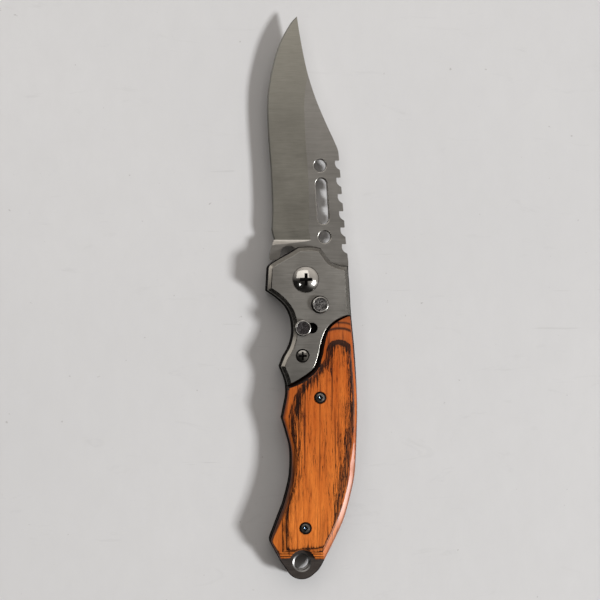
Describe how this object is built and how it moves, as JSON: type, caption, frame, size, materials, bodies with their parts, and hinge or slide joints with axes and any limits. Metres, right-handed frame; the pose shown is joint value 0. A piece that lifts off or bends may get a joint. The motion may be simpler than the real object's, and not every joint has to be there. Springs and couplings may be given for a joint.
{
  "type": "folding knife",
  "caption": "Side-opening folding knife: sawback clip-point blade, steel bolsters, wood scales, push-button lock, sliding safety and lanyard hole.",
  "frame": {"origin": "middle of the open knife's bounding box, on the rear face that it rests on", "axes": "+X from the cutting edge to the spine, +Y from the butt to the blade's tip, +Z out of the front face, along the pivot"},
  "size_m": [0.035, 0.216, 0.0144],
  "materials": {
    "blade_steel": "satin, ground across the blade",
    "bolster_steel": "brushed across the handle",
    "bright_steel": "polished",
    "dark_steel": "dark grey, satin",
    "black_steel": "black oxide",
    "spring_steel": "drawn wire",
    "brass": "plain",
    "wood": "lacquered orange laminate with dark brown grain"
  },
  "bodies": {
    "handle": {"front_bolster": "bolster_steel", "rear_bolster": "bolster_steel", "front_scale": "wood", "rear_scale": "wood", "front_liner": "dark_steel", "rear_liner": "dark_steel", "backspacer": "dark_steel", "spacer_pin_1": "bright_steel", "spacer_pin_2": "bright_steel", "spacer_pin_3": "bright_steel", "spacer_pin_4": "bright_steel", "stop_pin": "bright_steel", "pivot_barrel": "bright_steel", "pivot_screw": "bright_steel", "front_washer": "brass", "rear_washer": "brass", "main_spring": "spring_steel", "button_spring": "spring_steel", "front_bolster_screw": "bright_steel", "rear_bolster_screw": "bright_steel", "front_scale_screw_1": "black_steel", "front_scale_screw_2": "black_steel", "rear_scale_screw_1": "black_steel", "rear_scale_screw_2": "black_steel"},
    "blade": {"blade": "blade_steel"},
    "button": {"button_cap": "dark_steel", "lock_plunger": "bright_steel"},
    "safety": {"safety_knob": "dark_steel", "safety_slide": "bright_steel"}
  },
  "joints": [
    {"name": "blade_pivot", "type": "hinge", "parent": "handle", "child": "blade", "pos_m": [-0.00272, 0.0068, 0.0063], "axis": [0, 0, 1], "range_deg": [0, 180], "stiffness_Nm_per_rad": 0.05, "springref_deg": -40.11, "deforming": ["main_spring"]},
    {"name": "button_press", "type": "slide", "parent": "handle", "child": "button", "axis": [0, 0, -1], "range_m": [0, 0.0015], "stiffness_N_per_m": 600, "springref_m": -0.0015, "deforming": ["button_spring"]},
    {"name": "safety_slide", "type": "slide", "parent": "handle", "child": "safety", "axis": [1, 0, 0], "range_m": [0, 0.0035]}
  ]
}
